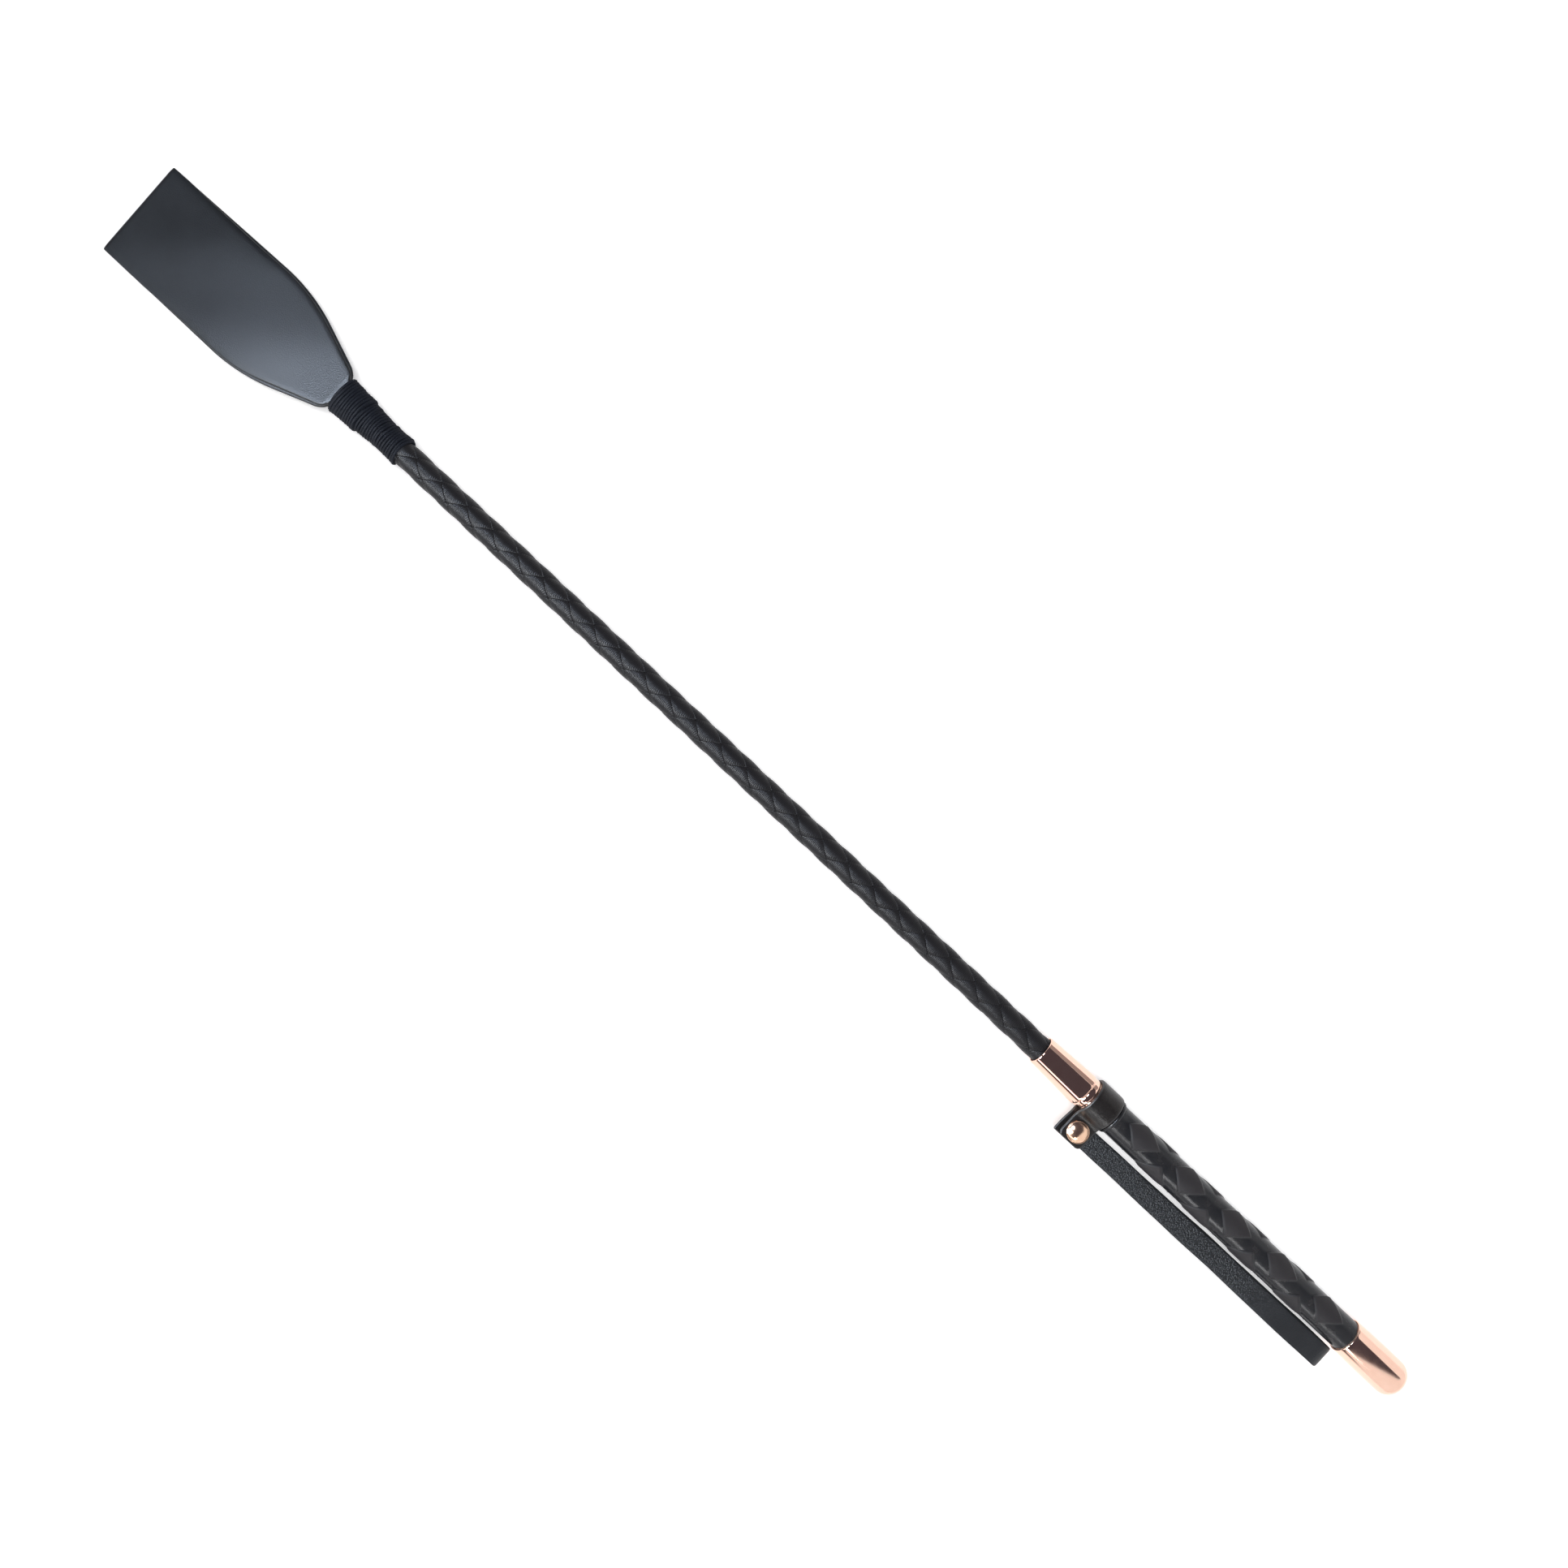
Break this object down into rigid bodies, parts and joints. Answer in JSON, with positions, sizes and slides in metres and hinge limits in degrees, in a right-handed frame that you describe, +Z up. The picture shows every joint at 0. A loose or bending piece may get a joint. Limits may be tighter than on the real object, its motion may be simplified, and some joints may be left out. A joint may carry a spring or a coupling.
{
  "type": "riding crop",
  "caption": "Riding crop with a folded leather flapper, plaited shaft, polished ferrule and end cap, moulded grip and riveted leather wrist loop.",
  "frame": {"origin": "bottom centre of the crop's box: on the resting surface, under the shaft's axis at the middle of its length", "axes": "+X along the crop towards the end cap, +Y away from the wrist loop, +Z up"},
  "size_m": [0.614, 0.0398, 0.0149],
  "materials": {
    "fibreglass": "pulled fibreglass rod, satin",
    "filler": "plain cotton filler",
    "plait": "fine-ribbed black plaited strands, low sheen",
    "whipping_thread": "waxed blue-black twisted thread",
    "flapper_leather": "smooth-grain black leather, painted edges, soft sheen",
    "strap_leather": "pebbled black leather, painted edges",
    "rose_gold": "rose-gold plate, mirror polished",
    "rivet_metal": "rose-gold plate, polished, slightly worn",
    "grip_rubber": "moulded rubber, semi-gloss lattice with matt diamonds",
    "tube_metal": "plain drawn tube",
    "plain_plastic": "natural moulded plastic"
  },
  "bodies": {
    "crop": {"core_rod": "fibreglass", "core_padding": "filler", "plaited_cover": "plait", "butt_binding": "whipping_thread", "flapper_tails": "flapper_leather", "whipping": "whipping_thread", "whipping_over": "whipping_thread", "ferrule": "rose_gold", "ferrule_bush": "plain_plastic", "handle_tube": "tube_metal", "grip": "grip_rubber", "end_cap": "rose_gold", "cap_plug": "plain_plastic"},
    "flapper": {"flapper": "flapper_leather"},
    "collar": {"wrist_collar": "strap_leather", "rivet_cap": "rivet_metal", "rivet_base": "rivet_metal"},
    "wrist_loop": {"wrist_strap": "strap_leather"}
  },
  "joints": [
    {"name": "flapper_flex", "type": "hinge", "parent": "crop", "child": "flapper", "pos_m": [-0.2078, 0, 0.00745], "axis": [0, 1, 0], "range_deg": [-45, 45], "stiffness_Nm_per_rad": 0.15},
    {"name": "collar_swivel", "type": "hinge", "parent": "crop", "child": "collar", "pos_m": [0.1621, 0, 0.00745], "axis": [1, 0, 0], "continuous": true},
    {"name": "loop_pivot", "type": "hinge", "parent": "collar", "child": "wrist_loop", "pos_m": [0.1621, -0.0121, 0.00745], "axis": [0, 0, 1], "range_deg": [-180, 0]}
  ]
}
